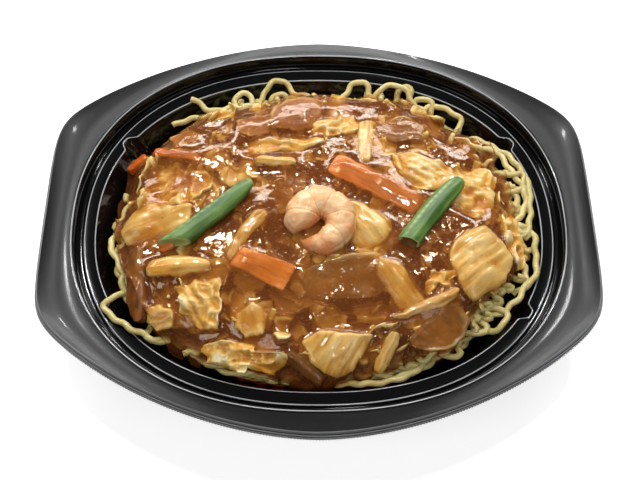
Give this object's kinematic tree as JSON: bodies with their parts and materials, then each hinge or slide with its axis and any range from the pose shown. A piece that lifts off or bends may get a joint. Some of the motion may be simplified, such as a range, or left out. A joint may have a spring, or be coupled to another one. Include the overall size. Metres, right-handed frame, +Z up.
{
  "type": "yakisoba",
  "caption": "Stir-fried noodles under a thick glossy vegetable sauce, topped with shrimp and green beans, in a black oval winged tray.",
  "frame": {"origin": "middle of the tray's flat underside, on the table", "axes": "+X along the tray from wing to wing, +Y across it to its far side, +Z up"},
  "size_m": [0.2528, 0.2104, 0.0559],
  "materials": {
    "tray": "black formed sheet, satin on the wings and glossy on the edges",
    "noodle": "pale yellow boiled wheat noodle, moist",
    "sauce": "thick translucent brown sauce, wet gloss",
    "shrimp": "boiled peeled shrimp, pale pink orange, moist",
    "bean": "blanched green bean pod, waxy",
    "carrot": "boiled carrot under a film of sauce",
    "stalk": "translucent cabbage stalk under a film of sauce",
    "leaf": "soft crinkled cabbage leaf under a film of sauce",
    "slice": "translucent vegetable slice soaked in sauce",
    "sprout": "bean sprout under a film of sauce"
  },
  "bodies": {
    "root": {"tray": "tray", "noodles": "noodle", "sauce": "sauce", "shrimp": "shrimp", "bean_pod_left": "bean", "bean_pod_right": "bean", "carrot_slab": "carrot", "carrot_cut": "carrot", "stalk_ribbed_right": "stalk", "stalk_beside_shrimp": "stalk", "stalk_diamond_front": "stalk", "stalk_smooth_left": "stalk", "stalk_stick_left": "stalk", "leaf_crinkled_left": "leaf", "leaf_wrinkled_right": "leaf", "leaf_frilled_front": "leaf", "leaf_crumpled_left": "leaf", "leaf_edge_right": "leaf", "leaf_yellow_back": "leaf", "leaf_long_back": "leaf", "leaf_small_right": "leaf", "sprout_long": "sprout", "sprout_bundle": "sprout", "stalk_white_back": "stalk", "stalk_upright_back": "stalk", "stalk_short_front": "stalk", "strip_front": "slice", "strip_middle": "slice", "slice_middle": "slice", "slice_rimmed_front": "slice", "slice_round_back": "slice", "slice_tan_back": "slice", "slice_brown_back": "slice", "slice_tan_left": "slice", "carrot_sliver": "carrot", "carrot_tip": "carrot", "stick_edge_left": "slice", "lump_left": "stalk", "lump_front": "slice"}
  },
  "joints": []
}
